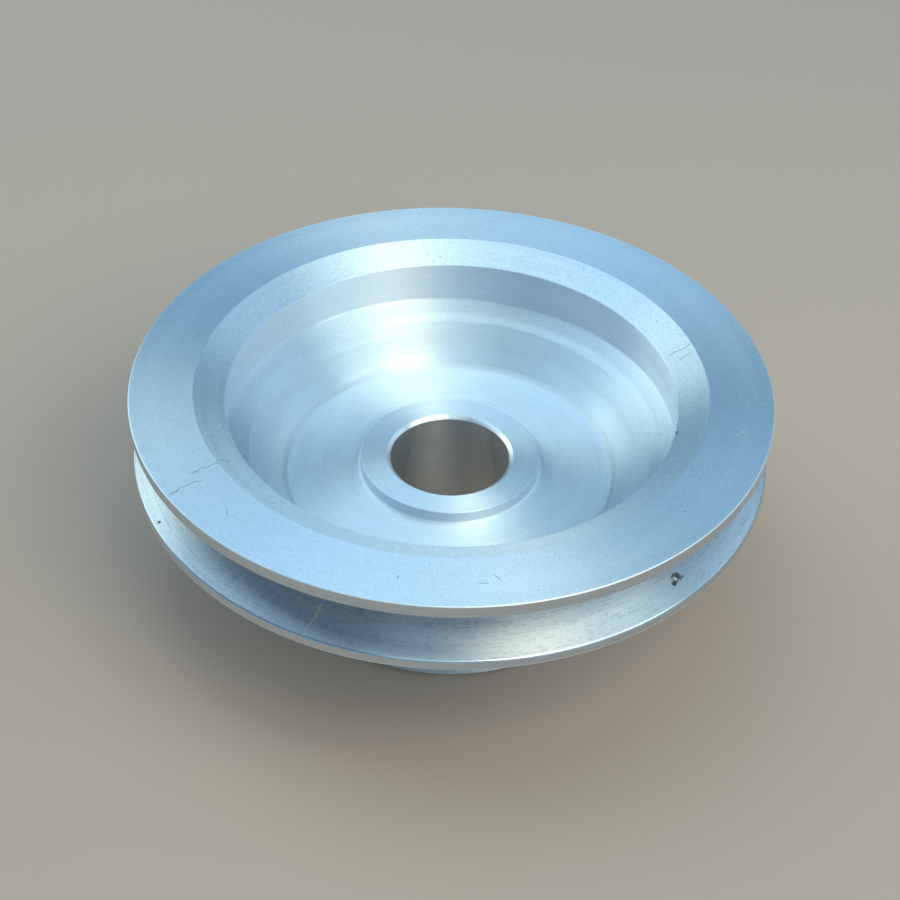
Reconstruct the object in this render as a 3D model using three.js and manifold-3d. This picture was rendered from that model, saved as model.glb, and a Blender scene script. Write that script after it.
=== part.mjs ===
// A single-groove V-belt pulley: a dished aluminium wheel turned from one casting, with a plain bore
// and a long hub, and two grub screws at right angles that clamp it to its shaft.
// Millimetres, +Z up along the bore. The origin is the centre of the hub's end face, on which it stands.
import * as THREE from "three";
import { mergeVertices } from "three/addons/utils/BufferGeometryUtils.js";
import Module from "manifold-3d";

const wasm = await Module();
wasm.setup();

// ---- driving dimensions ----
const RIM_RADIUS = 75;
const RIM_WIDTH = 18.5;
const OVERALL_HEIGHT = 56.2;
const HUB_RADIUS = 41;
const BORE_RADIUS = 14.3; // for a 28.6 mm (1 1/8 inch) shaft
const AROUND = 96; // facets round the wheel

// The groove suits a 13 mm wide A-section belt: 12.85 mm across its mouth, with a 38 degree included angle.
const TOP_LAND = 3.15;
const LOWER_LAND = 2.5;
const GROOVE_FLOOR_RADIUS = 61.5;
const GROOVE_HALF_ANGLE = THREE.MathUtils.degToRad(19);

// The dish in the upper face, as [radius, depth below the rim's upper face].
const FACE_INNER_RADIUS = 60.1;
const DISH_LIP = [53, 3.4];
const DISH_WALL_FOOT = [53.5, 14];
const DISH_LEDGE = [47.9, 17.3];
const DISH_CONE_FOOT = [39.5, 25.9];
const BOSS_FOOT = [21.6, 25.1];
const BOSS_RIM = [21.4, 21.9];

// The underside of the web is a 45 degree cone, and the hub's neck is filleted into it.
const CONE_TOP_RADIUS = 59;
const NECK_FILLET = 4.5;

const EDGE_BREAK = 0.3;
const HUB_END_CHAMFER = 1;
const BORE_CHAMFER = { width: 1.4, depth: 1 };

// M8 x 20 grub screws with a hexagon socket and a cup point. The threads are left smooth: the hole is
// as wide as its thread's root and the screw a little over its pitch diameter.
const SCREW = { radius: 3.65, length: 20, tipGap: 0.6, endChamfer: 0.7, cupRadius: 2.2, cupDepth: 1.2 };
const SOCKET = { acrossFlats: 4, depth: 5 };
const SCREW_HOLE_RADIUS = 4;
const SCREW_HEIGHT = 9;
const SCREW_FACETS = 32;

// Each screw's direction out of the hub, as a turn about Z from +X.
const SCREWS = [
  { name: "side_grub_screw", turn: 0 },
  { name: "rear_grub_screw", turn: Math.PI / 2 },
];

// ---- materials ----
const machinedAluminium = new THREE.MeshStandardMaterial({ color: 0xc3d2de, roughness: 0.36, metalness: 1 });
const blackOxideSteel = new THREE.MeshStandardMaterial({ color: 0x2b2c2f, roughness: 0.42, metalness: 1 });

// ---- solids ----
function solidOf(geometry) {
  const bare = geometry.index ? geometry.toNonIndexed() : geometry.clone();
  bare.deleteAttribute("normal");
  bare.deleteAttribute("uv");
  const merged = mergeVertices(bare, 1e-4);
  return new wasm.Manifold(
    new wasm.Mesh({
      numProp: 3,
      vertProperties: new Float32Array(merged.attributes.position.array),
      triVerts: new Uint32Array(merged.index.array),
    }),
  );
}

function geometryOf(solid) {
  const mesh = solid.getMesh();
  const geometry = new THREE.BufferGeometry();
  geometry.setAttribute("position", new THREE.BufferAttribute(mesh.vertProperties, 3));
  geometry.setIndex(new THREE.BufferAttribute(mesh.triVerts, 1));
  return geometry;
}

// A closed outline of [radius, height] points, turned about Z.
function turned(outline, facets) {
  const points = [...outline, outline[0]].map(([radius, height]) => new THREE.Vector2(radius, height));
  return new THREE.LatheGeometry(points, facets).rotateX(Math.PI / 2);
}

// ---- the wheel ----
function dishPoint([radius, depth]) {
  return [radius, OVERALL_HEIGHT - depth];
}

// The fillet between the hub's side and the 45 degree cone above it.
function neckFillet(coneTopHeight) {
  const meetHeight = coneTopHeight - (CONE_TOP_RADIUS - HUB_RADIUS);
  const halfTurn = Math.PI / 8;
  const setback = NECK_FILLET * Math.tan(halfTurn);
  const centre = [HUB_RADIUS + NECK_FILLET, meetHeight - setback];
  const steps = 3;
  return Array.from({ length: steps + 1 }, (_, i) => {
    const angle = Math.PI - (i / steps) * (Math.PI / 4);
    return [centre[0] + NECK_FILLET * Math.cos(angle), centre[1] + NECK_FILLET * Math.sin(angle)];
  });
}

function groove(lowerEdge, upperEdge) {
  const rise = (RIM_RADIUS - GROOVE_FLOOR_RADIUS) * Math.tan(GROOVE_HALF_ANGLE);
  return [
    [RIM_RADIUS, lowerEdge],
    [GROOVE_FLOOR_RADIUS, lowerEdge + rise],
    [GROOVE_FLOOR_RADIUS, upperEdge - rise],
    [RIM_RADIUS, upperEdge],
  ];
}

function wheelOutline() {
  const top = OVERALL_HEIGHT;
  const rimBottom = top - RIM_WIDTH;
  const [, bossTop] = dishPoint(BOSS_RIM);
  return [
    [BORE_RADIUS + BORE_CHAMFER.width, 0],
    [HUB_RADIUS - HUB_END_CHAMFER, 0],
    [HUB_RADIUS, HUB_END_CHAMFER],
    ...neckFillet(rimBottom),
    [CONE_TOP_RADIUS, rimBottom],
    [RIM_RADIUS - EDGE_BREAK, rimBottom],
    [RIM_RADIUS, rimBottom + EDGE_BREAK],
    ...groove(rimBottom + LOWER_LAND, top - TOP_LAND),
    [RIM_RADIUS, top - EDGE_BREAK],
    [RIM_RADIUS - EDGE_BREAK, top],
    [FACE_INNER_RADIUS, top],
    dishPoint(DISH_LIP),
    dishPoint(DISH_WALL_FOOT),
    dishPoint(DISH_LEDGE),
    dishPoint(DISH_CONE_FOOT),
    dishPoint(BOSS_FOOT),
    dishPoint(BOSS_RIM),
    [BORE_RADIUS + BORE_CHAMFER.width, bossTop],
    [BORE_RADIUS, bossTop - BORE_CHAMFER.depth],
    [BORE_RADIUS, BORE_CHAMFER.depth],
  ];
}

// A tapped hole's clearance shape, from inside the bore to outside the hub.
function screwHole(turn) {
  const start = BORE_RADIUS / 2;
  const end = HUB_RADIUS + 2;
  const hole = new THREE.CylinderGeometry(SCREW_HOLE_RADIUS, SCREW_HOLE_RADIUS, end - start, SCREW_FACETS);
  hole.rotateZ(Math.PI / 2).translate((start + end) / 2, 0, SCREW_HEIGHT).rotateZ(turn);
  return solidOf(hole);
}

function pulleyWheel() {
  let wheel = solidOf(turned(wheelOutline(), AROUND));
  for (const { turn } of SCREWS) wheel = wheel.subtract(screwHole(turn));
  const mesh = new THREE.Mesh(geometryOf(wheel), machinedAluminium);
  mesh.name = "pulley_wheel";
  return mesh;
}

// ---- the grub screws ----
// One screw along +X, its cup point at x = 0 and its socket at the far end.
function grubScrewSolid() {
  const { radius, length, endChamfer, cupRadius, cupDepth } = SCREW;
  const outline = [
    [0, cupDepth],
    [cupRadius, 0],
    [radius - endChamfer, 0],
    [radius, endChamfer],
    [radius, length - endChamfer],
    [radius - endChamfer, length],
    [0, length],
  ].map(([r, along]) => new THREE.Vector2(r, along));
  const body = new THREE.LatheGeometry(outline, SCREW_FACETS);
  const cornerRadius = SOCKET.acrossFlats / Math.sqrt(3);
  const overrun = 1;
  const socket = new THREE.CylinderGeometry(cornerRadius, cornerRadius, SOCKET.depth + overrun, 6);
  socket.translate(0, length - SOCKET.depth + (SOCKET.depth + overrun) / 2, 0);
  const alongX = -Math.PI / 2;
  return solidOf(body.rotateZ(alongX)).subtract(solidOf(socket.rotateZ(alongX)));
}

function grubScrew({ name, turn }) {
  const mesh = new THREE.Mesh(geometryOf(grubScrewSolid()), blackOxideSteel);
  mesh.name = name;
  mesh.position.set(BORE_RADIUS + SCREW.tipGap, 0, SCREW_HEIGHT);
  const spoke = new THREE.Group();
  spoke.rotation.z = turn;
  spoke.add(mesh);
  return spoke;
}

const pulley = new THREE.Group();
pulley.add(pulleyWheel());
for (const screw of SCREWS) pulley.add(grubScrew(screw));

export default pulley;
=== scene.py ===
"""The looks of a V-belt pulley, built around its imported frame.

The wheel is one dished aluminium casting, turned all over, with a V groove in its rim and a long hub below.
Two black grub screws, at right angles, clamp the hub to its shaft. Lengths are in metres, and MM turns the
drawing's millimetres into them. +Z runs along the bore, and the hub's end face stands on the floor at zero.
"""

from __future__ import annotations

import logging
import math
from dataclasses import dataclass, field
from enum import Enum

import bmesh
import bpy
from mathutils import Matrix, Quaternion, Vector, noise

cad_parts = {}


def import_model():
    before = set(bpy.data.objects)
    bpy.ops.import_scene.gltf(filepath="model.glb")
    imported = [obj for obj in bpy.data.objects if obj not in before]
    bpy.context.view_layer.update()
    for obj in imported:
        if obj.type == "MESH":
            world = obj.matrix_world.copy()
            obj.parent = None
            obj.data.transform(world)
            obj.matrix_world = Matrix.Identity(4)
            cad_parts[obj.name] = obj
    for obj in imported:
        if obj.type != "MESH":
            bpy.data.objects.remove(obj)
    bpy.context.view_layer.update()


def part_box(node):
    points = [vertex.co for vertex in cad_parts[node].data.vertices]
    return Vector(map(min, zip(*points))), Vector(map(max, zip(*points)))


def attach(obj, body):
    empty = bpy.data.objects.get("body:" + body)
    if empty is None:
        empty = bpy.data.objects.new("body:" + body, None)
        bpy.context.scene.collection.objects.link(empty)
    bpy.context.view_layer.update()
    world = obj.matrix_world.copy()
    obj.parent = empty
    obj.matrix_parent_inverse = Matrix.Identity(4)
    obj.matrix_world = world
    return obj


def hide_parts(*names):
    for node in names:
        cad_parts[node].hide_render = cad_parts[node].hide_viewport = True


LOG = logging.getLogger("v_belt_pulley")

MM = 0.001
Rgb = tuple[float, float, float]
Values = dict[str | int, object]


# ---------------------------------------------------------------------------------------------------------
# Mesh work that more than one piece uses
# ---------------------------------------------------------------------------------------------------------


@dataclass(frozen=True)
class Corner:
    """One corner of a turned section, in millimetres.

    Attributes:
        radius: how far the corner is from the axis.
        height: how far it is above the section's own zero.
        rounding: how far from the corner its rounding starts, along both sides.
    """

    radius: float
    height: float
    rounding: float = 0.0


def turn_section(corners: list[Corner], facets: int, closed: bool, round_steps: int = 5) -> bmesh.types.BMesh:
    """Turns a section about Z into a solid.

    Args:
        corners: the section's corners, in order.
        facets: how many steps make a full turn.
        closed: whether the section joins up, as a ring's does, or starts and ends on the axis.
        round_steps: how many faces each rounding gets.

    Returns:
        A closed mesh whose faces point outwards.
    """
    shape = bmesh.new()
    points = [shape.verts.new((c.radius * MM, 0.0, c.height * MM)) for c in corners]
    for first, second in zip(points, points[1:] + points[:1] if closed else points[1:]):
        shape.edges.new((first, second))
    for point, corner in zip(points, corners):
        if corner.rounding > 0:
            bmesh.ops.bevel(
                shape,
                geom=[point],
                offset=corner.rounding * MM,
                segments=round_steps,
                profile=0.5,
                affect="VERTICES",
                material=-1,
            )
    bmesh.ops.spin(
        shape,
        geom=shape.verts[:] + shape.edges[:],
        cent=(0, 0, 0),
        axis=(0, 0, 1),
        angle=math.tau,
        steps=facets,
        use_merge=True,
    )
    bmesh.ops.remove_doubles(shape, verts=shape.verts[:], dist=1e-7)
    bmesh.ops.recalc_face_normals(shape, faces=shape.faces[:])
    return shape


@dataclass(frozen=True)
class Thread:
    """A metric thread, in millimetres.

    Attributes:
        crest: the radius at the outside of the ridges.
        root: the radius at the bottom of the furrows.
        pitch: how far one turn travels.
        facets: how many steps make a full turn.
    """

    crest: float
    root: float
    pitch: float = 1.25
    facets: int = 48

    def rod(self, start: float, end: float) -> bmesh.types.BMesh:
        """Makes a closed threaded rod along Z.

        Args:
            start: where the rod's flat lower end is, in millimetres. A furrow always passes +X at zero.
            end: where its flat upper end is.

        Returns:
            The rod's mesh, with its faces pointing outwards.
        """
        shape = bmesh.new()
        first = math.floor(start / self.pitch) - 2
        last = math.ceil(end / self.pitch) + 2
        furrow = 0.25 * self.pitch
        ridge = 0.125 * self.pitch
        slope = (self.pitch - furrow - ridge) / 2
        chain: list[bmesh.types.BMVert] = []
        for turn in range(first, last):
            foot = turn * self.pitch
            steps = (
                (0.0, self.root),
                (furrow, self.root),
                (furrow + slope, self.crest),
                (furrow + slope + ridge, self.crest),
            )
            chain += [shape.verts.new((radius * MM, 0.0, (foot + rise) * MM)) for rise, radius in steps]
        for lower, upper in zip(chain, chain[1:]):
            shape.edges.new((lower, upper))
        bmesh.ops.spin(
            shape,
            geom=shape.verts[:] + shape.edges[:],
            cent=(0, 0, 0),
            axis=(0, 0, 1),
            dvec=(0, 0, self.pitch * MM / self.facets),
            angle=math.tau,
            steps=self.facets,
            use_merge=False,
        )
        bmesh.ops.remove_doubles(shape, verts=shape.verts[:], dist=1e-6)
        for height, trim_above in ((start, False), (end, True)):
            everything = shape.verts[:] + shape.edges[:] + shape.faces[:]
            cut = bmesh.ops.bisect_plane(
                shape,
                geom=everything,
                dist=1e-8,
                plane_co=(0, 0, height * MM),
                plane_no=(0, 0, 1),
                clear_outer=trim_above,
                clear_inner=not trim_above,
            )
            rim = [part for part in cut["geom_cut"] if isinstance(part, bmesh.types.BMEdge)]
            bmesh.ops.contextual_create(shape, geom=rim)
        bmesh.ops.remove_doubles(shape, verts=shape.verts[:], dist=1e-6)
        bmesh.ops.recalc_face_normals(shape, faces=shape.faces[:])
        return shape


def as_object(shape: bmesh.types.BMesh, name: str) -> bpy.types.Object:
    """Puts a mesh in the scene as an object at the origin.

    Args:
        shape: the mesh, which is freed.
        name: the object's name.

    Returns:
        The new object.
    """
    mesh = bpy.data.meshes.new(name)
    shape.to_mesh(mesh)
    shape.free()
    piece = bpy.data.objects.new(name, mesh)
    bpy.context.scene.collection.objects.link(piece)
    return piece


def carve(piece: bpy.types.Object, tool: bmesh.types.BMesh, operation: str = "DIFFERENCE") -> None:
    """Cuts a closed tool out of a piece, or keeps only what the two share, for good.

    Args:
        piece: the object whose mesh is cut.
        tool: the cutting shape, which is used up.
        operation: DIFFERENCE or INTERSECT.
    """
    cutter = as_object(tool, f"{piece.name}_cutter")
    cut = piece.modifiers.new("cut", "BOOLEAN")
    cut.operation = operation
    cut.object = cutter
    cut.solver = "MANIFOLD"
    bpy.context.view_layer.update()
    graph = bpy.context.evaluated_depsgraph_get()
    result = bpy.data.meshes.new_from_object(piece.evaluated_get(graph))
    piece.modifiers.remove(cut)
    worn_out = piece.data
    piece.data = result
    bpy.data.meshes.remove(worn_out)
    tool_mesh = cutter.data
    bpy.data.objects.remove(cutter)
    bpy.data.meshes.remove(tool_mesh)


def finish_surface(piece: bpy.types.Object, crease: float) -> None:
    """Shades a piece smooth up to a crease angle, with its broad faces kept flat.

    Args:
        piece: the object to shade.
        crease: the angle between faces, in radians, past which an edge stays sharp.
    """
    mesh = piece.data
    mesh.polygons.foreach_set("use_smooth", [True] * len(mesh.polygons))
    mesh.set_sharp_from_angle(angle=crease)
    even = piece.modifiers.new("even_shading", "WEIGHTED_NORMAL")
    even.keep_sharp = True
    even.weight = 80


# ---------------------------------------------------------------------------------------------------------
# Node work that more than one finish uses
# ---------------------------------------------------------------------------------------------------------


class Wiring:
    """Places nodes in one node tree and joins them, so that a recipe reads from top to bottom."""

    def __init__(self, tree: bpy.types.NodeTree) -> None:
        """Starts work on a node tree.

        Args:
            tree: the node tree to place nodes in.
        """
        self.tree = tree

    def node(self, kind: str, values: Values | None = None, **settings: object) -> bpy.types.Node:
        """Places a node.

        Args:
            kind: the node's type, without its ShaderNode prefix.
            values: for each input, by name or number, a constant or the output socket that feeds it.
            settings: the node's own attributes.

        Returns:
            The new node.
        """
        made = self.tree.nodes.new(kind if kind.startswith("NodeGroup") else f"ShaderNode{kind}")
        for attribute, value in settings.items():
            setattr(made, attribute, value)
        for key, value in (values or {}).items():
            if isinstance(value, bpy.types.NodeSocket):
                self.tree.links.new(value, made.inputs[key])
            else:
                made.inputs[key].default_value = value
        return made

    def calc(self, operation: str, first: object, second: object = 0.0) -> bpy.types.NodeSocket:
        """Works out one number from one or two.

        Args:
            operation: the Math node's operation.
            first: the first number, or the socket that gives it.
            second: the second number, or its socket.

        Returns:
            The result's socket.
        """
        return self.node("Math", {0: first, 1: second}, operation=operation).outputs[0]

    def ramp(
        self, value: object, low: float, high: float, to_low: float = 0.0, to_high: float = 1.0
    ) -> bpy.types.NodeSocket:
        """Eases a number from one range to another.

        Args:
            value: the number's socket.
            low: the bottom of its range.
            high: the top of its range.
            to_low: what the bottom becomes.
            to_high: what the top becomes.

        Returns:
            The eased number's socket.
        """
        values = {"Value": value, "From Min": low, "From Max": high, "To Min": to_low, "To Max": to_high}
        return self.node("MapRange", values, interpolation_type="SMOOTHSTEP").outputs["Result"]

    def mix(self, share: object, first: object, second: object) -> bpy.types.NodeSocket:
        """Mixes two colours.

        Args:
            share: how much of the second colour shows.
            first: the first colour, or its socket.
            second: the second colour, or its socket.

        Returns:
            The mixed colour's socket.
        """
        colours = [c if isinstance(c, bpy.types.NodeSocket) else (*c, 1.0) for c in (first, second)]
        made = self.node("Mix", data_type="RGBA")
        for key, value in zip((0, 6, 7), (share, *colours)):
            if isinstance(value, bpy.types.NodeSocket):
                self.tree.links.new(value, made.inputs[key])
            else:
                made.inputs[key].default_value = value
        return made.outputs[2]


def new_group(
    name: str, inputs: dict[str, tuple[str, float]], outputs: tuple[str, ...]
) -> tuple[bpy.types.NodeTree, Wiring, bpy.types.Node, bpy.types.Node]:
    """Starts a shader node group whose outputs are all numbers.

    Args:
        name: the group's name.
        inputs: each input's name, with its kind (Vector or Float) and its default value.
        outputs: the outputs' names.

    Returns:
        The group, its wiring, its input node and its output node.
    """
    tree = bpy.data.node_groups.new(name, "ShaderNodeTree")
    for label, (kind, default) in inputs.items():
        socket = tree.interface.new_socket(label, in_out="INPUT", socket_type=f"NodeSocket{kind}")
        if kind == "Float":
            socket.default_value = default
    for label in outputs:
        tree.interface.new_socket(label, in_out="OUTPUT", socket_type="NodeSocketFloat")
    wiring = Wiring(tree)
    return tree, wiring, wiring.node("NodeGroupInput"), wiring.node("NodeGroupOutput")


@dataclass
class SurfaceEffects:
    """The node groups that the finishes share. Each is built once.

    Attributes:
        tool_marks: the rings that a lathe's tool leaves.
        grain: the even grain of an etched or cast skin.
        hairline: one crack or scratch, or a painted glint.
        bands_apart: how many tool marks a broad band spans.
        band_steadiness: how much less than a tool mark a broad band changes on its way round.
        specks_per_bump: how many specks there are along a line, for each bump of the grain.
        patches_per_bump: the same, for the patches that the specks keep to.
        wander_scale: how tightly a hairline wanders, per metre.
    """

    tool_marks: bpy.types.NodeTree = field(init=False)
    grain: bpy.types.NodeTree = field(init=False)
    hairline: bpy.types.NodeTree = field(init=False)
    bands_apart: float = 5.0
    band_steadiness: float = 0.05
    specks_per_bump: float = 0.22
    patches_per_bump: float = 0.03
    wander_scale: float = 0.45 / MM

    def __post_init__(self) -> None:
        """Builds the groups."""
        self.tool_marks = self._tool_marks()
        self.grain = self._grain()
        self.hairline = self._hairline()

    def _tool_marks(self) -> bpy.types.NodeTree:
        """Builds the rings that a lathe's tool leaves around Z.

        Returns:
            The group, which puts out a fine height and a broader band.
        """
        inputs = {"Position": ("Vector", 0.0), "Spacing": ("Float", 0.3 * MM), "Waver": ("Float", 1.0)}
        tree, wiring, given, made = new_group("tool_marks", inputs, ("Height", "Band"))
        apart = wiring.node("SeparateXYZ", {0: given.outputs["Position"]})
        flat = wiring.node("CombineXYZ", {0: apart.outputs[0], 1: apart.outputs[1]}).outputs[0]
        radius = wiring.node("VectorMath", {0: flat}, operation="LENGTH").outputs["Value"]
        direction = wiring.node("VectorMath", {0: flat}, operation="NORMALIZE").outputs[0]
        outward = wiring.node("SeparateXYZ", {0: direction})
        scales = (("Height", 1.0, 1.0, 3.0), ("Band", self.bands_apart, self.band_steadiness, 2.0))
        for label, coarser, steadier, detail in scales:
            step = wiring.calc("MULTIPLY", given.outputs["Spacing"], coarser)
            waver = wiring.calc("MULTIPLY", given.outputs["Waver"], steadier)
            across = wiring.node("CombineXYZ", {
                0: wiring.calc("DIVIDE", radius, step),
                1: wiring.calc("DIVIDE", apart.outputs[2], step),
                2: wiring.calc("MULTIPLY", outward.outputs[0], waver),
            }).outputs[0]
            along = wiring.calc("MULTIPLY", outward.outputs[1], waver)
            look = {"Vector": across, "W": along, "Scale": 1.0, "Detail": detail, "Roughness": 0.55}
            rings = wiring.node("TexNoise", look, noise_dimensions="4D")
            wiring.tree.links.new(rings.outputs[0], made.inputs[label])
        return tree

    def _grain(self) -> bpy.types.NodeTree:
        """Builds the even grain of an etched or cast skin.

        Returns:
            The group, which puts out the grain's height and a mask of sparse specks.
        """
        inputs = {"Position": ("Vector", 0.0), "Size": ("Float", 0.5 * MM), "Specks": ("Float", 0.5)}
        tree, wiring, given, made = new_group("grain", inputs, ("Height", "Speck"))
        small = wiring.calc("DIVIDE", 1.0, given.outputs["Size"])
        body = wiring.node("TexNoise", {"Vector": given.outputs["Position"], "Scale": small, "Detail": 2.0})
        wiring.tree.links.new(body.outputs[0], made.inputs["Height"])
        sparse = wiring.calc("MULTIPLY", small, self.specks_per_bump)
        dots = wiring.node("TexVoronoi", {"Vector": given.outputs["Position"], "Scale": sparse})
        near = wiring.ramp(dots.outputs["Distance"], 0.04, 0.14, 1.0, 0.0)
        broad = wiring.calc("MULTIPLY", small, self.patches_per_bump)
        patches = wiring.node("TexNoise", {"Vector": given.outputs["Position"], "Scale": broad})
        where = wiring.ramp(patches.outputs[0], 0.5, 0.62)
        strength = wiring.calc("MULTIPLY", where, given.outputs["Specks"])
        wiring.tree.links.new(wiring.calc("MULTIPLY", near, strength), made.inputs["Speck"])
        return tree

    def _hairline(self) -> bpy.types.NodeTree:
        """Builds one wandering hairline, such as a crack, a scratch or a painted glint, on a turned face.

        Returns:
            The group, which puts out the line's mask.
        """
        inputs = {
            "Position": ("Vector", 0.0),
            "Bearing": ("Float", 0.0),
            "Radius": ("Float", 0.0),
            "Tilt": ("Float", 0.0),
            "Length": ("Float", 6 * MM),
            "Width": ("Float", 0.2 * MM),
            "Wander": ("Float", 1.5 * MM),
        }
        tree, wiring, given, made = new_group("hairline", inputs, ("Mask",))
        back = wiring.calc("MULTIPLY", given.outputs["Bearing"], -1.0)
        unturn = {"Vector": given.outputs["Position"], "Angle": back}
        turned = wiring.node("VectorRotate", unturn, rotation_type="Z_AXIS").outputs[0]
        start = wiring.node("CombineXYZ", {0: given.outputs["Radius"]}).outputs[0]
        local = wiring.node("VectorMath", {0: turned, 1: start}, operation="SUBTRACT").outputs[0]
        level = wiring.calc("MULTIPLY", given.outputs["Tilt"], -1.0)
        untilt = {"Vector": local, "Angle": level}
        laid = wiring.node("VectorRotate", untilt, rotation_type="Z_AXIS").outputs[0]
        apart = wiring.node("SeparateXYZ", {0: laid})
        wavy = {"Vector": laid, "Scale": self.wander_scale, "Detail": 3.0}
        wander = wiring.node("TexNoise", wavy).outputs[0]
        drift = wiring.calc("MULTIPLY", wiring.calc("SUBTRACT", wander, 0.5), given.outputs["Wander"])
        off = wiring.calc("ABSOLUTE", wiring.calc("ADD", apart.outputs[1], drift))
        beside = wiring.calc("DIVIDE", off, given.outputs["Width"])
        thin = wiring.ramp(beside, 0.35, 1.0, 1.0, 0.0)
        along = wiring.calc("DIVIDE", wiring.calc("ABSOLUTE", apart.outputs[0]), given.outputs["Length"])
        inside = wiring.ramp(along, 0.40, 0.52, 1.0, 0.0)
        wiring.tree.links.new(wiring.calc("MULTIPLY", thin, inside), made.inputs["Mask"])
        return tree


@dataclass(frozen=True)
class Hairline:
    """One crack or scratch on a turned face, or a painted glint where its colour is bright. Lengths are in
    millimetres and angles in degrees.

    Attributes:
        bearing: its direction from the axis, about Z from +X.
        radius: how far its middle is from the axis.
        length: how long it is.
        width: how wide it is.
        tilt: how far it leans from straight outwards.
        wander: how far it strays from a straight line.
        shine: the colour that it shows; a bright one is a painted glint.
    """

    bearing: float
    radius: float
    length: float
    width: float
    tilt: float = 0.0
    wander: float = 1.5
    shine: Rgb = (0.2, 0.25, 0.28)


# ---------------------------------------------------------------------------------------------------------
# Finishes
# ---------------------------------------------------------------------------------------------------------


ACROSS_THE_MARKS = 0.25  # a quarter turn, so that highlights are drawn out across the marks
HOLLOW_SHADE = 0.62  # the colour in a furrow or hollow, as a share of the metal's own
SPECK_COLOUR: Rgb = (0.12, 0.13, 0.14)
HAIRLINE_DULLING = 0.25  # how much rougher a crack or scratch is
DASHES_ACROSS = 0.8 * MM  # how far chatter reaches across the marks


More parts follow.
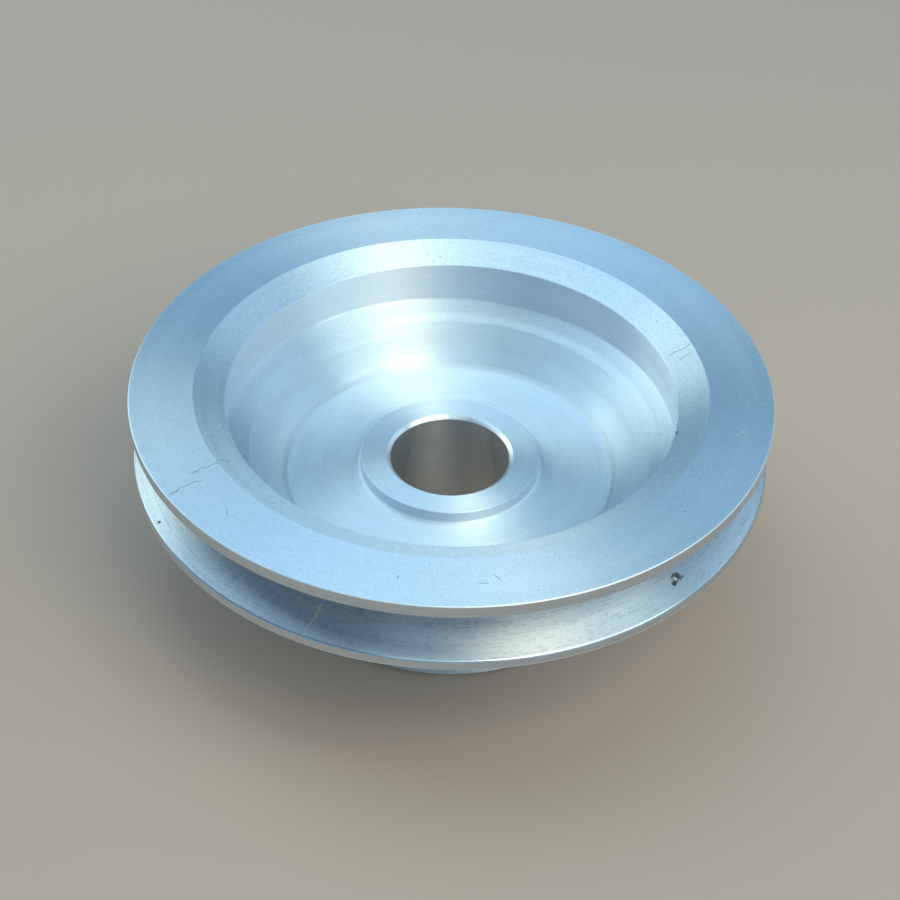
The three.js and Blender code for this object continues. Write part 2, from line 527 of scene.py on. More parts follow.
@dataclass(frozen=True)
class TurnedAluminium:
    """Aluminium as a lathe leaves it: rings of tool marks that draw highlights out into fans.

    Attributes:
        name: the material's name.
        tint: the metal's colour, lighter or darker on some faces as painted light or shade.
        roughness: how dull it is between the marks.
        anisotropy: how far the marks draw out a highlight.
        spacing: how far apart the marks are, in millimetres.
        depth: how deep they are, in millimetres.
        waver: how much they change on their way round.
        streaks: how much darker their furrows are.
        chatter: how often the furrows break into dashes on their way round, or 0 for unbroken ones.
        banding: how far broad bands of them differ in colour and polish.
        grain: how deep the even grain is, in millimetres.
        grain_size: how far apart the grain's bumps are, in millimetres.
        mottle: how much darker the grain's hollows are.
        specks: how dark its specks are.
        hairlines: the cracks and scratches on this face, and its painted glints.
    """

    name: str
    tint: Rgb = (0.76, 0.86, 0.94)
    roughness: float = 0.40
    anisotropy: float = 0.85
    spacing: float = 0.3
    depth: float = 0.004
    waver: float = 1.0
    streaks: float = 0.10
    chatter: float = 0.0
    banding: float = 0.10
    grain: float = 0.0
    grain_size: float = 0.5
    mottle: float = 0.12
    specks: float = 0.0
    hairlines: tuple[Hairline, ...] = ()

    def build(self, effects: SurfaceEffects) -> bpy.types.Material:
        """Makes the material.

        Args:
            effects: the shared effects.

        Returns:
            The material.
        """
        material = bpy.data.materials.new(self.name)
        material.use_nodes = True
        wiring = Wiring(material.node_tree)
        surface = material.node_tree.nodes["Principled BSDF"]
        place = wiring.node("TexCoord").outputs["Object"]
        marks = wiring.node("Group", node_tree=effects.tool_marks)
        grain = wiring.node("Group", node_tree=effects.grain)
        for effect in (marks, grain):
            wiring.tree.links.new(place, effect.inputs["Position"])
        marks.inputs["Spacing"].default_value = self.spacing * MM
        marks.inputs["Waver"].default_value = self.waver
        grain.inputs["Size"].default_value = self.grain_size * MM
        grain.inputs["Specks"].default_value = self.specks

        dark = tuple(HOLLOW_SHADE * c for c in self.tint)
        banded = wiring.ramp(marks.outputs["Band"], 0.3, 0.7, self.banding, 0.0)
        colour = wiring.mix(banded, self.tint, dark)
        furrows = wiring.ramp(marks.outputs["Height"], 0.35, 0.6, self.streaks, 0.0)
        if self.chatter > 0:
            breaks = wiring.node("Group", {"Position": place}, node_tree=effects.tool_marks)
            breaks.inputs["Spacing"].default_value = DASHES_ACROSS
            breaks.inputs["Waver"].default_value = self.chatter
            furrows = wiring.calc("MULTIPLY", furrows, wiring.ramp(breaks.outputs["Height"], 0.4, 0.6))
        colour = wiring.mix(furrows, colour, dark)
        mottled = wiring.ramp(grain.outputs["Height"], 0.35, 0.65, self.mottle, 0.0)
        colour = wiring.mix(mottled, colour, dark)
        colour = wiring.mix(grain.outputs["Speck"], colour, SPECK_COLOUR)
        smoothest = self.roughness * (1 - self.banding)
        roughest = self.roughness * (1 + self.banding)
        rough = wiring.ramp(marks.outputs["Band"], 0.3, 0.7, smoothest, roughest)
        for line in self.hairlines:
            mask = self._line(wiring, effects, place, line)
            # a bright line's colour is a painted glint; a dark one is the crack's own colour
            colour = wiring.mix(mask, colour, line.shine)
            rough = wiring.calc("ADD", rough, wiring.calc("MULTIPLY", mask, HAIRLINE_DULLING))
        wiring.tree.links.new(colour, surface.inputs["Base Color"])
        wiring.tree.links.new(rough, surface.inputs["Roughness"])
        surface.inputs["Metallic"].default_value = 1.0
        surface.inputs["Anisotropic"].default_value = self.anisotropy
        surface.inputs["Anisotropic Rotation"].default_value = ACROSS_THE_MARKS
        around = wiring.node("Tangent", direction_type="RADIAL", axis="Z")
        wiring.tree.links.new(around.outputs[0], surface.inputs["Tangent"])

        relief = wiring.node("Bump", {"Height": marks.outputs["Height"], "Distance": self.depth * MM})
        if self.grain > 0:
            bumps = {
                "Height": grain.outputs["Height"],
                "Distance": self.grain * MM,
                "Normal": relief.outputs[0],
            }
            relief = wiring.node("Bump", bumps)
        wiring.tree.links.new(relief.outputs[0], surface.inputs["Normal"])
        return material

    @staticmethod
    def _line(
        wiring: Wiring, effects: SurfaceEffects, place: bpy.types.NodeSocket, line: Hairline
    ) -> bpy.types.NodeSocket:
        """Places one hairline.

        Args:
            wiring: the material's wiring.
            effects: the shared effects.
            place: the socket that gives the object's own coordinates.
            line: the crack, scratch or painted glint.

        Returns:
            Its mask's socket.
        """
        values = {
            "Position": place,
            "Bearing": math.radians(line.bearing),
            "Radius": line.radius * MM,
            "Tilt": math.radians(line.tilt),
            "Length": line.length * MM,
            "Width": line.width * MM,
            "Wander": line.wander * MM,
        }
        made = wiring.node("Group", node_tree=effects.hairline)
        for key, value in values.items():
            if isinstance(value, bpy.types.NodeSocket):
                wiring.tree.links.new(value, made.inputs[key])
            else:
                made.inputs[key].default_value = value
        return made.outputs["Mask"]


@dataclass(frozen=True)
class BlackOxide:
    """Blackened steel, worn a little where it was handled.

    Attributes:
        name: the material's name.
        tint: the oxide's colour.
        bare: the steel's colour where the oxide has worn thin.
        roughness: how dull it is.
        grain_size: how far apart its grain's bumps are, in millimetres.
        grain: how deep they are, in millimetres.
        specks: how dark its specks are.
    """

    name: str = "black_oxide"
    tint: Rgb = (0.055, 0.055, 0.06)
    bare: Rgb = (0.34, 0.33, 0.32)
    roughness: float = 0.38
    grain_size: float = 0.35
    grain: float = 0.006
    specks: float = 0.6

    def build(self, effects: SurfaceEffects) -> bpy.types.Material:
        """Makes the material.

        Args:
            effects: the shared effects.

        Returns:
            The material.
        """
        material = bpy.data.materials.new(self.name)
        material.use_nodes = True
        wiring = Wiring(material.node_tree)
        surface = material.node_tree.nodes["Principled BSDF"]
        place = wiring.node("TexCoord").outputs["Object"]
        grain = wiring.node("Group", node_tree=effects.grain)
        wiring.tree.links.new(place, grain.inputs["Position"])
        grain.inputs["Size"].default_value = self.grain_size * MM
        grain.inputs["Specks"].default_value = self.specks
        worn = wiring.ramp(grain.outputs["Height"], 0.52, 0.78, 0.0, 0.35)
        colour = wiring.mix(worn, self.tint, self.bare)
        smoothest = self.roughness * 0.8
        roughest = self.roughness * 1.25
        rough = wiring.ramp(grain.outputs["Height"], 0.2, 0.8, smoothest, roughest)
        wiring.tree.links.new(colour, surface.inputs["Base Color"])
        wiring.tree.links.new(rough, surface.inputs["Roughness"])
        surface.inputs["Metallic"].default_value = 1.0
        relief = wiring.node("Bump", {"Height": grain.outputs["Height"], "Distance": self.grain * MM})
        wiring.tree.links.new(relief.outputs[0], surface.inputs["Normal"])
        return material


@dataclass(frozen=True)
class StudioPaint:
    """The plain matt paint of the studio's floor.

    Attributes:
        name: the material's name.
        tint: the paint's colour.
    """

    name: str = "studio_floor"
    tint: Rgb = (0.455, 0.350, 0.295)

    def build(self) -> bpy.types.Material:
        """Makes the material.

        Returns:
            The material.
        """
        material = bpy.data.materials.new(self.name)
        material.use_nodes = True
        surface = material.node_tree.nodes["Principled BSDF"]
        surface.inputs["Base Color"].default_value = (*self.tint, 1.0)
        surface.inputs["Roughness"].default_value = 0.9
        surface.inputs["Specular IOR Level"].default_value = 0.15
        return material


# ---------------------------------------------------------------------------------------------------------
# The wheel
# ---------------------------------------------------------------------------------------------------------


class Zone(Enum):
    """The wheel's surfaces, by finish and by painted light. The value is the surface's material number."""

    RIM_FACE = 0
    BEVEL = 1
    DISH_WALL = 2
    LEDGE = 3
    DISH_CONE = 4
    DISH_FLOOR = 5
    BOSS = 6
    BORE = 7
    GROOVE = 8
    LAND_SHADE = 9
    EDGE = 10
    UNDERSIDE = 11
    HUB = 12
    RAW = 13
    BOSS_SIDE_SHADE = 14


@dataclass
class PulleyWheel:
    """The wheel: rim with its V groove, dished web, boss, hub and bore, turned from one casting.

    Attributes:
        node: the CAD node that it stands for.
        facets: how many steps make a full turn.
        rim_width, top_land, lower_land, groove_floor_radius, groove_half_angle: the rim and its groove.
        hub_radius, bore_radius, bore_chamfer, hub_chamfer: the hub. bore_chamfer is its width and depth.
        bevel_foot, wall_foot, ledge_foot, cone_foot, boss_foot, boss_rim: the dish, each as a radius and a
            depth below the rim's face, which starts at face_inner_radius.
        cone_top_radius, neck_fillet: the web's underside.
        edge_width: how wide the broken edges of the rim are, which are painted lighter as a highlight.
        rim_radius, top: the rim's radius and its face's height, from the frame.
        hair: how far a face's middle may stray from the surface that it is on.
        lip: how far the groove's finish reaches round its lips.
        cone_reach: how far inwards of its foot the cone's finish reaches.
        boss_reach: how far inwards of its rim the painted shade of the boss's side reaches.
        boss_foot_reach: how far above the boss's foot that painted shade ends.
        crease: the angle, in radians, past which an edge is sharp.
    """

    node: str = "pulley_wheel"
    facets: int = 512
    rim_width: float = 18.5
    top_land: float = 3.15
    lower_land: float = 2.5
    groove_floor_radius: float = 61.5
    groove_half_angle: float = math.radians(19)
    hub_radius: float = 41.0
    bore_radius: float = 14.3
    bore_chamfer: tuple[float, float] = (1.0, 0.8)
    hub_chamfer: float = 1.0
    face_inner_radius: float = 60.1
    bevel_foot: tuple[float, float] = (53.0, 3.4)
    wall_foot: tuple[float, float] = (53.5, 14.0)
    ledge_foot: tuple[float, float] = (47.9, 17.3)
    cone_foot: tuple[float, float] = (39.5, 25.9)
    boss_foot: tuple[float, float] = (21.6, 25.1)
    boss_rim: tuple[float, float] = (21.4, 21.9)
    cone_top_radius: float = 59.0
    neck_fillet: float = 4.5
    edge_width: float = 0.34
    hair: float = 0.06
    lip: float = 0.4
    cone_reach: float = 0.5
    boss_reach: float = 0.25
    boss_foot_reach: float = 0.7
    crease: float = math.radians(32)
    rim_radius: float = field(init=False)
    top: float = field(init=False)

    def __post_init__(self) -> None:
        """Takes the overall size from the frame."""
        _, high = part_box(self.node)
        self.rim_radius = high.x / MM
        self.top = high.z / MM

    @property
    def rim_bottom(self) -> float:
        """The height of the rim's lower face."""
        return self.top - self.rim_width

    def section(self) -> list[Corner]:
        """Lists the section's corners.

        Returns:
            The corners, from the hub's end round by the rim to the bore.
        """
        rise = (self.rim_radius - self.groove_floor_radius) * math.tan(self.groove_half_angle)
        groove_low = self.rim_bottom + self.lower_land
        groove_high = self.top - self.top_land
        neck_height = self.rim_bottom - (self.cone_top_radius - self.hub_radius)
        chamfer_width, chamfer_depth = self.bore_chamfer
        boss_top = self.top - self.boss_rim[1]
        dish = (
            (self.bevel_foot, 0.18),
            (self.wall_foot, 0.5),
            (self.ledge_foot, 0.2),
            (self.cone_foot, 1.6),
            (self.boss_foot, 0.9),
            (self.boss_rim, 0.3),
        )
        return [
            Corner(self.bore_radius + chamfer_width, 0.0, 0.12),
            Corner(self.hub_radius - self.hub_chamfer, 0.0, 0.2),
            Corner(self.hub_radius, self.hub_chamfer, 0.2),
            Corner(self.hub_radius, neck_height, self.neck_fillet * math.tan(math.pi / 8)),
            Corner(self.cone_top_radius, self.rim_bottom, 0.8),
            Corner(self.rim_radius, self.rim_bottom, 0.35),
            Corner(self.rim_radius, groove_low, 0.45),
            Corner(self.groove_floor_radius, groove_low + rise, 0.5),
            Corner(self.groove_floor_radius, groove_high - rise, 0.5),
            Corner(self.rim_radius, groove_high, 0.3),
            Corner(self.rim_radius, self.top, 0.28),
            Corner(self.face_inner_radius, self.top, 0.15),
            *(Corner(radius, self.top - depth, rounding) for (radius, depth), rounding in dish),
            Corner(self.bore_radius + chamfer_width, boss_top, 0.1),
            Corner(self.bore_radius, boss_top - chamfer_depth, 0.15),
            Corner(self.bore_radius, chamfer_depth, 0.15),
        ]

    def zone_at(self, radius: float, height: float) -> Zone:
        """Says which surface a point of the wheel's skin is on.

        Args:
            radius: how far the point is from the axis, in millimetres.
            height: how high it is, in millimetres.

        Returns:
            The surface. The flat under the rim counts with the dish's cone.
        """
        depth = self.top - height
        hub_start = self.hub_radius - self.hub_chamfer - self.hair
        if radius < self.bore_radius + self.bore_chamfer[0] - self.hair:
            return Zone.BORE
        if depth < self.hair:
            return Zone.RIM_FACE
        if radius > self.rim_radius - self.edge_width:
            on_edge = depth < self.edge_width or depth > self.rim_width - self.edge_width
            return Zone.EDGE if on_edge else Zone.LAND_SHADE
        if self._in_groove(radius, depth):
            return Zone.GROOVE
        if depth > self.rim_width + self.hair and radius > self.hub_radius + self.hair:
            return Zone.UNDERSIDE
        if depth > self.cone_foot[1] and radius >= hub_start:
            return Zone.HUB
        if height < self.hair:
            return Zone.HUB
        return self._dish_zone(radius, depth)

    def _in_groove(self, radius: float, depth: float) -> bool:
        """Whether a point is in the V groove, from its radius and its depth below the rim's face."""
        starts = self.top_land - self.lip
        ends = self.rim_width - self.lower_land + self.lip
        return radius > self.groove_floor_radius - self.hair and starts < depth < ends

    def _dish_zone(self, radius: float, depth: float) -> Zone:
        """Says which surface of the dish a point is on.

        Args:
            radius: how far the point is from the axis, in millimetres.
            depth: how far it is below the rim's face, in millimetres.

        Returns:
            The surface.
        """
        boss_side_start = self.boss_rim[1] + 0.05
        boss_side_end = self.boss_foot[1] - self.boss_foot_reach
        if depth < self.bevel_foot[1] + self.hair:
            return Zone.BEVEL if radius < self.face_inner_radius + self.hair else Zone.EDGE
        if radius > self.bevel_foot[0] - self.hair and depth < self.wall_foot[1]:
            return Zone.DISH_WALL
        if radius > self.ledge_foot[0] and depth < self.ledge_foot[1] + self.hair:
            return Zone.LEDGE
        if radius > self.cone_foot[0] - self.cone_reach:
            return Zone.DISH_CONE if depth < self.cone_foot[1] + self.hair else Zone.UNDERSIDE
        if radius > self.boss_rim[0] - self.boss_reach and boss_side_start < depth < boss_side_end:
            return Zone.BOSS_SIDE_SHADE
        if radius > self.boss_rim[0]:
            return Zone.DISH_FLOOR
        return Zone.BOSS

    def build(self, effects: SurfaceEffects, screws: list[GrubScrew]) -> bpy.types.Object:
        """Turns the wheel, taps its holes and dresses it.

        Args:
            effects: the node groups that its finishes use.
            screws: the grub screws, each of which says where its hole is.

        Returns:
            The wheel's object.
        """
        wheel = as_object(turn_section(self.section(), self.facets, closed=True), "turned_wheel")
        for screw in screws:
            carve(wheel, screw.hole(self.bore_radius / 2, self.hub_radius + 3))
            carve(wheel, screw.countersink(self.hub_radius))
        for pit in PITS:
            carve(wheel, pit.blob())
        wheel.data.materials.clear()
        for zone in Zone:
            wheel.data.materials.append(WHEEL_FINISHES_AND_PAINTED_LIGHT[zone].build(effects))
        self._mark_zones(wheel.data, screws)
        finish_surface(wheel, self.crease)
        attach(wheel, "wheel")
        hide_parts(self.node)
        return wheel

    def _mark_zones(self, mesh: bpy.types.Mesh, screws: list[GrubScrew]) -> None:
        """Gives each face the material of the surface that it is on.

        Args:
            mesh: the wheel's mesh.
            screws: the grub screws, whose holes are bored metal.
        """
        numbers = []
        for face in mesh.polygons:
            centre = face.center / MM
            radius = math.hypot(centre.x, centre.y)
            if any(screw.holds_face(face) for screw in screws):
                zone = Zone.BORE
            # a pit's faces take the raw casting, painted dark as shade
            elif any(pit.holds(face.center) for pit in PITS):
                zone = Zone.RAW
            else:
                zone = self.zone_at(radius, centre.z)
            numbers.append(zone.value)
        mesh.polygons.foreach_set("material_index", numbers)
        mesh.update()


@dataclass(frozen=True)
class CastingPit:
    """A small ragged hole that the turning opened in the casting.

    Attributes:
        bearing: its direction from the axis, in degrees about Z from +X.
        radius: how far it is from the axis, in millimetres.
        height: how high it is, in millimetres.
        size: its own radius, in millimetres.
        seed: which ragged shape it gets.
    """

    bearing: float
    radius: float
    height: float
    size: float
    seed: int

    @property
    def centre(self) -> Vector:
        """The pit's middle, in metres."""
        angle = math.radians(self.bearing)
        return Vector((self.radius * math.cos(angle), self.radius * math.sin(angle), self.height)) * MM

    def blob(self) -> bmesh.types.BMesh:
        """Makes the ragged blob that the pit is cut with.

        Returns:
            The blob's mesh, in its place.
        """
        shape = bmesh.new()
        bmesh.ops.create_icosphere(shape, subdivisions=3, radius=self.size * MM)
        for vert in shape.verts:
            lump = noise.noise(vert.co / (self.size * MM) * 1.6 + Vector((self.seed * 7.1, 0, 0)))
            vert.co *= 1.0 + 0.55 * lump
        bmesh.ops.translate(shape, verts=shape.verts[:], vec=self.centre)
        return shape

    def holds(self, point: Vector) -> bool:
        """Whether a point of the wheel's skin is inside the pit."""
        return (point - self.centre).length < self.size * MM * 1.05


# ---------------------------------------------------------------------------------------------------------
# The grub screws
# ---------------------------------------------------------------------------------------------------------


@dataclass
class GrubScrew:
    """A socket grub screw with a cup point, and the tapped hole that it turns in. Lengths are in millimetres.

    Attributes:
        node: the CAD node that it stands for.
        body: the CAD body that it rides on.
        heading: which way is out of the hub, in radians about Z from +X.
        thread: the screw's thread. It is a little thinner than the hole's, so that the screw slides freely.
        tapping: the hole's thread.
        across_flats, socket_depth: the hexagon that the key fits.
        cup_radius, cup_depth: the hollow in its point.
        end_chamfer: how far its ends are bevelled.
        countersink_flare: how much wider than the thread the hole's mouth is.
        tip, length, height: its place and length, from the frame.
        crease: the angle, in radians, past which an edge is sharp.
    """

    node: str
    body: str
    heading: float
    thread: Thread = Thread(crest=3.64, root=3.12)
    tapping: Thread = Thread(crest=4.0, root=3.71)
    across_flats: float = 4.0
    socket_depth: float = 5.0
    cup_radius: float = 2.2
    cup_depth: float = 1.2
    end_chamfer: float = 0.75
    countersink_flare: float = 0.55
    crease: float = math.radians(28)
    tip: float = field(init=False)
    length: float = field(init=False)
    height: float = field(init=False)

    def __post_init__(self) -> None:
        """Takes the screw's place and length from the frame."""
        low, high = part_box(self.node)
        along_x = abs(math.cos(self.heading)) > 0.5
        ends = (low.x, high.x) if along_x else (low.y, high.y)
        near, far = sorted(abs(end) for end in ends)
        self.tip = near / MM
        self.length = (far - near) / MM
        self.height = (low.z + high.z) / 2 / MM

    def _seat(self, shape: bmesh.types.BMesh) -> bmesh.types.BMesh:
        """Lays a shape into its place in the hub.

        Args:
            shape: the shape, made along +Z from the bore's axis outwards.

        Returns:
            The same mesh, turned and moved.
        """
        lay = Matrix.Translation((0, 0, self.height * MM)) @ Matrix.Rotation(self.heading, 4, "Z")
        bmesh.ops.transform(shape, matrix=lay @ Matrix.Rotation(math.pi / 2, 4, "Y"), verts=shape.verts[:])
        return shape

    def hole(self, start: float, end: float) -> bmesh.types.BMesh:
        """Makes the tap's threaded shape, between two distances from the bore's axis."""
        return self._seat(self.tapping.rod(start, end))

    def countersink(self, hub_radius: float) -> bmesh.types.BMesh:
        """Makes the cone that breaks the hole's edge at the hub's side.

        Args:
            hub_radius: the hub's radius, in millimetres.

        Returns:
            The cone's mesh, in its place.
        """
        reach = 2.0
        mouth = self.tapping.crest + self.countersink_flare
        cone = [
            Corner(0.0, hub_radius - mouth),
            Corner(mouth + reach, hub_radius + reach),
            Corner(0.0, hub_radius + reach),
        ]
        return self._seat(turn_section(cone, 64, closed=False))

    def holds_face(self, face: bpy.types.MeshPolygon) -> bool:
        """Whether a face of the wheel is in this screw's hole.

        Args:
            face: one of the wheel's faces.

        Returns:
            True if it is.
        """
        mouth = self.tapping.crest + self.countersink_flare
        out = Vector((math.cos(self.heading), math.sin(self.heading), 0))
        offset = face.center - Vector((0, 0, self.height * MM))
        along = offset.dot(out)
        beside = (offset - along * out).length / MM
        faces_outwards = abs(face.normal.dot(out)) >= 0.95
        return along > 0 and beside < mouth + 0.01 and not faces_outwards

    def build(self, material: bpy.types.Material) -> bpy.types.Object:
        """Makes the screw, in its place.

        Args:
            material: its finish.

        Returns:
            The screw's object.
        """
        end = self.tip + self.length
        side = self.thread.crest + 0.02  # just clear of the crests, so that only the ends are trimmed
        face_edge = self.thread.crest - self.end_chamfer
        blank = [
            Corner(0.0, self.tip + self.cup_depth),
            Corner(self.cup_radius, self.tip, 0.08),
            Corner(face_edge, self.tip, 0.05),
            Corner(side, self.tip + self.end_chamfer, 0.0),
            Corner(side, end - self.end_chamfer, 0.0),
            Corner(face_edge, end, 0.05),
            Corner(0.0, end),
        ]
        screw = as_object(self._seat(self.thread.rod(self.tip - 1, end + 1)), f"{self.node}_threaded")
        carve(screw, self._seat(turn_section(blank, 96, closed=False)), "INTERSECT")
        carve(screw, self._seat(self._socket(end)))
        screw.data.materials.clear()
        screw.data.materials.append(material)
        finish_surface(screw, self.crease)
        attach(screw, self.body)
        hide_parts(self.node)
        return screw

    def _socket(self, end: float) -> bmesh.types.BMesh:
        """Makes the hexagon that the key fits.

        Args:
            end: how far the screw's outer end is from the bore's axis, in millimetres.

        Returns:
            The hexagon's mesh, along +Z.
        """
        corner = self.across_flats / math.sqrt(3) * MM
        bottom = end - self.socket_depth
        mouth = end + 1.0
        shape = bmesh.new()
        bmesh.ops.create_circle(shape, cap_ends=True, segments=6, radius=corner)
        bmesh.ops.translate(shape, verts=shape.verts[:], vec=(0, 0, mouth * MM))
        drop = bmesh.ops.extrude_face_region(shape, geom=shape.faces[:])
        moved = [part for part in drop["geom"] if isinstance(part, bmesh.types.BMVert)]
        bmesh.ops.translate(shape, verts=moved, vec=(0, 0, (bottom - mouth) * MM))
        bmesh.ops.recalc_face_normals(shape, faces=shape.faces[:])
        return shape


# ---------------------------------------------------------------------------------------------------------
# The wheel's finishes, blemishes and painted light
# ---------------------------------------------------------------------------------------------------------

PITS = (
    CastingPit(bearing=-89.0, radius=70.1, height=42.0, size=1.2, seed=1),
    CastingPit(bearing=-90.4, radius=70.9, height=41.6, size=0.7, seed=2),
    CastingPit(bearing=163.2, radius=73.6, height=40.8, size=0.45, seed=3),
    CastingPit(bearing=-58.2, radius=53.2, height=52.6, size=0.6, seed=4),
)

DARK_LINE: Rgb = (0.42, 0.53, 0.56)
# A painted glint: the near-white colour of a burr or scratch where it catches the light.
PAINTED_GLINT: Rgb = (1.0, 0.97, 0.86)

WHEEL_FINISHES_AND_PAINTED_LIGHT: dict[Zone, TurnedAluminium] = {
    Zone.RIM_FACE: TurnedAluminium(
        "rim_face_aluminium", tint=(0.73, 0.835, 0.93), roughness=0.45, anisotropy=0.8, spacing=0.5,
        depth=0.0025, streaks=0.05, banding=0.03, grain=0.014, grain_size=0.40, mottle=0.26, specks=0.6,
        hairlines=(
            Hairline(bearing=167.0, radius=63.0, length=8.5, width=0.26, wander=3.5, shine=DARK_LINE),
            Hairline(bearing=170.0, radius=70.0, length=9.0, width=0.26, tilt=4, wander=3.5, shine=DARK_LINE),
            Hairline(bearing=-179.6, radius=67.4, length=2.2, width=0.2, tilt=60, shine=DARK_LINE),
            Hairline(
                bearing=-128.5, radius=68.0, length=2.6, width=0.22, tilt=80, wander=0.6, shine=DARK_LINE,
            ),
            Hairline(
                bearing=-125.8, radius=66.6, length=2.0, width=0.2, tilt=35, wander=0.6, shine=DARK_LINE,
            ),
            Hairline(bearing=-143.5, radius=67.3, length=0.9, width=0.3, wander=0.1, shine=DARK_LINE),
            # A painted glint on a burr in the rim's face.
            Hairline(
                bearing=-58.4, radius=67.6, length=3.2, width=0.2, tilt=48, wander=0.5, shine=PAINTED_GLINT,
            ),
        ),
    ),
    Zone.BEVEL: TurnedAluminium(
        "bevel_aluminium", tint=(0.80, 0.89, 0.96), roughness=0.48, anisotropy=0.85, spacing=0.5,
        depth=0.004, streaks=0.08, banding=0.08, grain=0.022, grain_size=0.50, mottle=0.35, specks=0.7,
        hairlines=(
            Hairline(bearing=-27.6, radius=57.0, length=6.0, width=0.24, wander=2.0, shine=DARK_LINE),
            Hairline(bearing=-30.4, radius=57.6, length=3.5, width=0.2, tilt=12, shine=DARK_LINE),
            Hairline(bearing=166.0, radius=58.6, length=4.0, width=0.3, shine=DARK_LINE),
        ),
    ),
    Zone.DISH_WALL: TurnedAluminium(
        "dish_wall_aluminium", tint=(0.79, 0.84, 0.92), roughness=0.5, anisotropy=0.88, spacing=0.4,
        depth=0.004, banding=0.12, grain=0.006, mottle=0.16, specks=0.3,
    ),
    Zone.LEDGE: TurnedAluminium(
        "ledge_aluminium", roughness=0.5, anisotropy=0.9, spacing=0.4, depth=0.004, banding=0.08,
        grain=0.016, grain_size=0.45, mottle=0.26, specks=0.5,
    ),
    # The cone and the floor are painted lighter than the other turned faces, painted light that brightens the
    # dish.
    Zone.DISH_CONE: TurnedAluminium(
        "dish_cone_aluminium", tint=(0.82, 0.90, 0.96), roughness=0.5, anisotropy=0.95, spacing=0.9,
        depth=0.0035, waver=3.0, streaks=0.16, banding=0.08, mottle=0.05,
    ),
    Zone.DISH_FLOOR: TurnedAluminium(
        "dish_floor_aluminium", tint=(0.83, 0.92, 0.98), roughness=0.58, anisotropy=0.84, spacing=0.9,
        depth=0.003, waver=3.0, streaks=0.12, banding=0.06, mottle=0.05,
    ),
    Zone.BOSS: TurnedAluminium(
        "boss_aluminium", tint=(0.80, 0.89, 0.96), roughness=0.55, anisotropy=0.85, spacing=0.35, depth=0.003,
        banding=0.05, grain=0.006, grain_size=0.4, mottle=0.14, specks=0.3,
    ),
    # The boss's side is painted darker, a painted shade on the short wall round the boss's foot.
    Zone.BOSS_SIDE_SHADE: TurnedAluminium(
        "boss_side_shaded_aluminium", tint=(0.60, 0.66, 0.76), roughness=0.5, anisotropy=0.8, spacing=0.4,
        depth=0.003, banding=0.05,
    ),
    Zone.BORE: TurnedAluminium(
        "bored_aluminium", tint=(0.82, 0.83, 0.84), roughness=0.30, anisotropy=0.85, spacing=0.35,
        depth=0.002, banding=0.06,
    ),
    Zone.GROOVE: TurnedAluminium(
        "groove_aluminium", tint=(0.72, 0.79, 0.87), roughness=0.46, anisotropy=0.93, spacing=0.36,
        depth=0.0035, waver=6.0, streaks=0.6, chatter=60.0, banding=0.10, grain=0.004, grain_size=0.4,
        mottle=0.12, specks=0.3,
        hairlines=(
            # A painted glint along a scratch in the groove's flank.
            Hairline(
                bearing=-158.4, radius=71.3, length=9.5, width=0.34, tilt=-6, wander=2.2, shine=PAINTED_GLINT,
            ),
        ),
    ),
    # The lands are painted darker, a painted shade for the dim reflection that they show.
    Zone.LAND_SHADE: TurnedAluminium(
        "land_shaded_aluminium", tint=(0.62, 0.71, 0.80), roughness=0.26, anisotropy=0.5, spacing=0.6, depth=0.002,
        waver=4.0, streaks=0.2, banding=0.1, mottle=0.08,
    ),
    # The broken edges are painted nearly white, a painted highlight where they catch the light.
    Zone.EDGE: TurnedAluminium(
        "edge_glint_aluminium", tint=(0.92, 0.96, 0.99), roughness=0.55, anisotropy=0.3, spacing=0.4, depth=0.002,
        banding=0.05, mottle=0.05,
    ),
    Zone.UNDERSIDE: TurnedAluminium(
        "underside_aluminium", roughness=0.52, anisotropy=0.9, spacing=0.7, depth=0.008, waver=3.0,
        banding=0.16, grain=0.008, mottle=0.15, specks=0.3,
    ),
    Zone.HUB: TurnedAluminium(
        "hub_aluminium", roughness=0.5, anisotropy=0.9, spacing=0.5, depth=0.005, waver=2.0, banding=0.12,
        grain=0.004, mottle=0.10, specks=0.2,
    ),
    # The pits show raw casting, painted dark as painted shade inside them.
    Zone.RAW: TurnedAluminium(
        "raw_casting_pit_shade", tint=(0.24, 0.25, 0.27), roughness=0.7, anisotropy=0.0, spacing=0.2, depth=0.0,
        banding=0.0, grain=0.05, grain_size=0.3, mottle=0.5,
    ),
}


# ---------------------------------------------------------------------------------------------------------
# The studio
# ---------------------------------------------------------------------------------------------------------


WARM_LAMP: Rgb = (1.0, 0.95, 0.70)
DAYLIGHT: Rgb = (0.85, 1.0, 0.90)
HAZY_SKY: Rgb = (0.65, 0.85, 1.0)
BLUE_SKY: Rgb = (0.35, 0.65, 1.0)


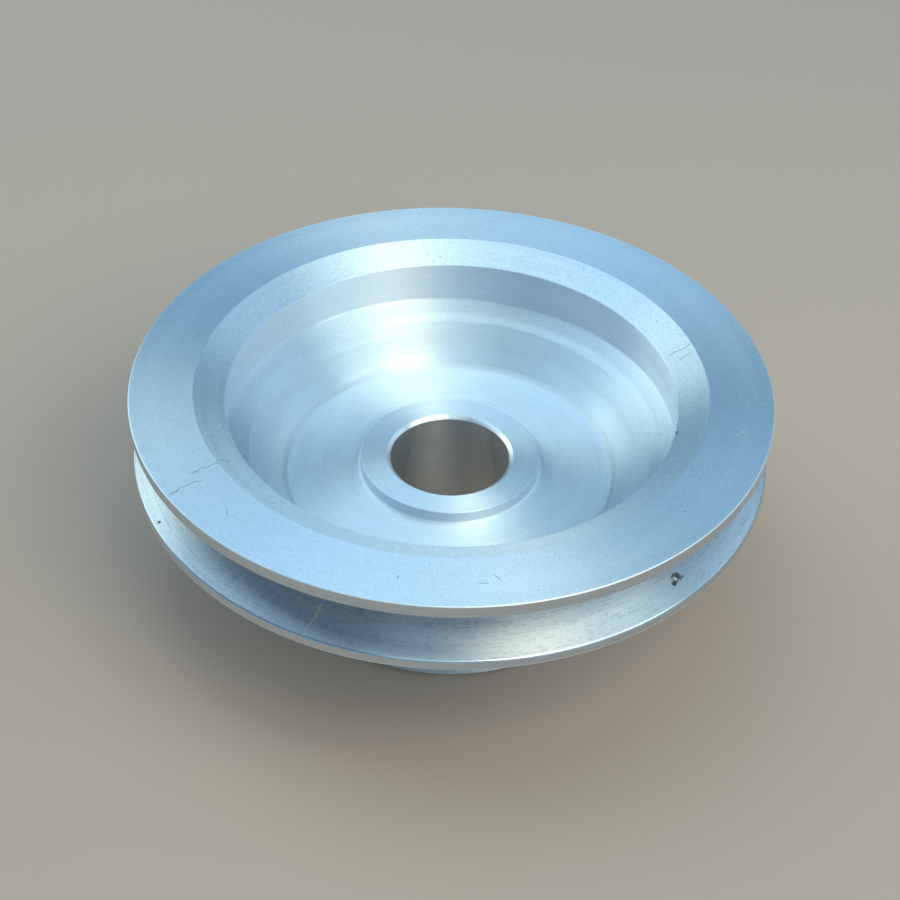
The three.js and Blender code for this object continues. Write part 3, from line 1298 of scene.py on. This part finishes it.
@dataclass(frozen=True)
class SoftBox:
    """A rectangular studio light that faces the pulley.

    Attributes:
        name: the light's name.
        bearing: how far round it stands from the camera, in degrees, anticlockwise seen from above.
        elevation: how high it stands, in degrees.
        width, height: its size, in metres.
        glow: how bright its face is, where a white wall in full light is about one.
        tint: its colour.
        distance: how far it is from the pulley, in metres.
    """

    name: str
    bearing: float
    elevation: float
    width: float
    height: float
    glow: float
    tint: Rgb
    distance: float = 1.0

    def place(self, aim: Vector, camera_bearing: float) -> None:
        """Puts the light in the scene, facing a point.

        Args:
            aim: the point.
            camera_bearing: the camera's direction from the pulley, in radians about Z from +X.
        """
        lamp = bpy.data.lights.new(self.name, "AREA")
        lamp.shape = "RECTANGLE"
        lamp.size = self.width
        lamp.size_y = self.height
        lamp.energy = self.glow * math.pi * self.width * self.height
        lamp.color = self.tint
        light = bpy.data.objects.new(self.name, lamp)
        bearing = camera_bearing + math.radians(self.bearing)
        elevation = math.radians(self.elevation)
        away = Vector((
            math.cos(elevation) * math.cos(bearing),
            math.cos(elevation) * math.sin(bearing),
            math.sin(elevation),
        ))
        light.location = aim + away * self.distance
        light.rotation_euler = away.to_track_quat("Z", "Y").to_euler()
        light.visible_camera = False
        bpy.context.scene.collection.objects.link(light)


@dataclass
class Studio:
    """A pale floor, soft lights and the camera.

    Attributes:
        wheel_radius: the wheel's radius in metres, which the camera's place is measured in.
        top: the height of the rim's face, in metres.
        camera_bearing, camera_elevation, camera_roll: the camera's direction from its aim, and its lean.
        camera_distance, aim_forward: how far the camera is from its aim, and the aim from the bore.
        lens: the camera's focal length, in millimetres.
        lights: the soft boxes.
    """

    wheel_radius: float
    top: float
    camera_bearing: float = math.radians(-135)
    camera_distance: float = 5.79
    camera_elevation: float = math.radians(39.71)
    camera_roll: float = math.radians(1.75)
    aim_forward: float = 0.332
    lens: float = 77.7
    lights: tuple[SoftBox, ...] = (
        SoftBox("key", bearing=35, elevation=47, width=0.46, height=0.70, glow=4.0, tint=WARM_LAMP),
        SoftBox("right", bearing=68, elevation=40, width=0.40, height=0.60, glow=2.8, tint=DAYLIGHT),
        SoftBox("right_low", bearing=45, elevation=8, width=0.90, height=0.26, glow=1.2, tint=BLUE_SKY),
        SoftBox("window_low", bearing=-125, elevation=24, width=0.80, height=0.50, glow=2.1, tint=DAYLIGHT),
        SoftBox("window_high", bearing=-118, elevation=58, width=0.75, height=0.60, glow=1.7, tint=HAZY_SKY),
        SoftBox("overhead", bearing=180, elevation=88, width=0.60, height=0.60, glow=1.8, tint=DAYLIGHT),
        SoftBox("rear", bearing=180, elevation=60, width=0.40, height=0.40, glow=1.3, tint=BLUE_SKY),
        SoftBox("rear_right", bearing=118, elevation=36, width=0.90, height=0.60, glow=1.0, tint=HAZY_SKY),
        SoftBox("front", bearing=-4, elevation=42, width=0.45, height=0.70, glow=0.8, tint=HAZY_SKY),
    )

    def build(self) -> None:
        """Sets the stage."""
        self._floor()
        self._sky()
        aim = Vector((0, 0, 0.7 * self.top))
        for light in self.lights:
            light.place(aim, self.camera_bearing)
        self._camera()
        bpy.context.scene.view_settings.view_transform = "Standard"

    def _floor(self) -> None:
        """Lays the floor under the hub's end face."""
        shape = bmesh.new()
        bmesh.ops.create_grid(shape, x_segments=1, y_segments=1, size=3.0)
        floor = as_object(shape, "studio_floor")
        floor.data.materials.append(StudioPaint().build())

    def _sky(self) -> None:
        """Fills the surroundings with a dim, cool light that is palest at the horizon."""
        world = bpy.data.worlds.new("studio")
        bpy.context.scene.world = world
        world.use_nodes = True
        wiring = Wiring(world.node_tree)
        height = wiring.node("SeparateXYZ", {0: wiring.node("TexCoord").outputs["Generated"]}).outputs[2]
        tone = wiring.mix(wiring.ramp(height, 0.0, 0.35), (0.34, 0.53, 0.60), (0.09, 0.20, 0.30))
        world.node_tree.links.new(tone, world.node_tree.nodes["Background"].inputs["Color"])

    def _camera(self) -> None:
        """Stands the camera above the front, looking at the near part of the rim's face."""
        data = bpy.data.cameras.new("camera")
        data.lens = self.lens
        data.sensor_width = 36.0
        data.clip_start = 0.01
        camera = bpy.data.objects.new("camera", data)
        forward = Vector((math.cos(self.camera_bearing), math.sin(self.camera_bearing), 0))
        aim = forward * self.aim_forward * self.wheel_radius + Vector((0, 0, self.top))
        away = forward * math.cos(self.camera_elevation) + Vector((0, 0, math.sin(self.camera_elevation)))
        facing = away.to_track_quat("Z", "Y")
        camera.location = aim + away * self.camera_distance * self.wheel_radius
        camera.rotation_mode = "QUATERNION"
        camera.rotation_quaternion = facing @ Quaternion((0, 0, 1), self.camera_roll)
        bpy.context.scene.collection.objects.link(camera)
        bpy.context.scene.camera = camera


def main() -> None:
    """Builds every piece around the frame, then the studio."""
    logging.basicConfig(level=logging.INFO, format="%(name)s: %(message)s")
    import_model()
    effects = SurfaceEffects()
    screws = [
        GrubScrew("side_grub_screw", "side_screw", heading=0.0),
        GrubScrew("rear_grub_screw", "rear_screw", heading=math.pi / 2),
    ]
    wheel = PulleyWheel()
    made = [wheel.build(effects, screws)]
    oxide = BlackOxide().build(effects)
    made += [screw.build(oxide) for screw in screws]
    for piece in made:
        LOG.info("%s: %d faces", piece.name, len(piece.data.polygons))
    Studio(wheel.rim_radius * MM, wheel.top * MM).build()


if __name__ == "__main__":
    main()
